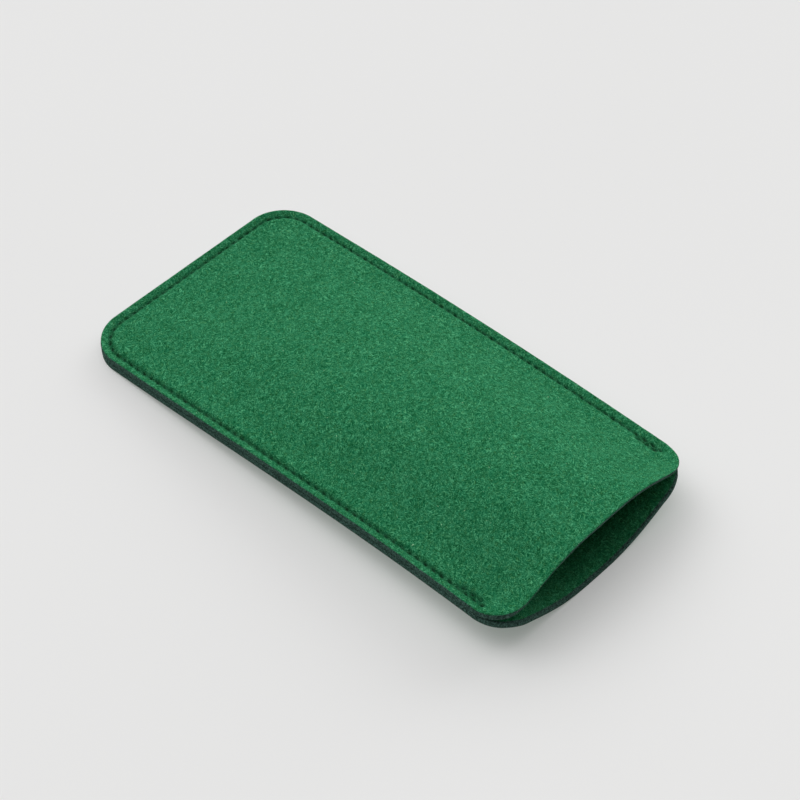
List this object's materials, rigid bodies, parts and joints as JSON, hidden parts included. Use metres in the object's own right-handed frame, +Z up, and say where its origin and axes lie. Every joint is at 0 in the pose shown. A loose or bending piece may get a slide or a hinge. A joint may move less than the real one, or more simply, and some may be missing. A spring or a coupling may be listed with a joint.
{
  "type": "eyeglasses case",
  "caption": "Soft felt eyeglasses sleeve: two rounded panels joined by one lockstitch seam, open at one short end.",
  "frame": {"origin": "centre of the footprint on the table", "axes": "+Z up; +Y along the length towards the closed end, so the mouth faces -Y; +X across the width"},
  "size_m": [0.085, 0.17, 0.0245],
  "materials": {
    "felt": "pressed wool felt, matte",
    "thread": "twisted polyester thread, satin"
  },
  "bodies": {
    "root": {"front_panel": "felt", "back_panel": "felt", "needle_thread": "thread", "bobbin_thread": "thread"}
  },
  "joints": []
}
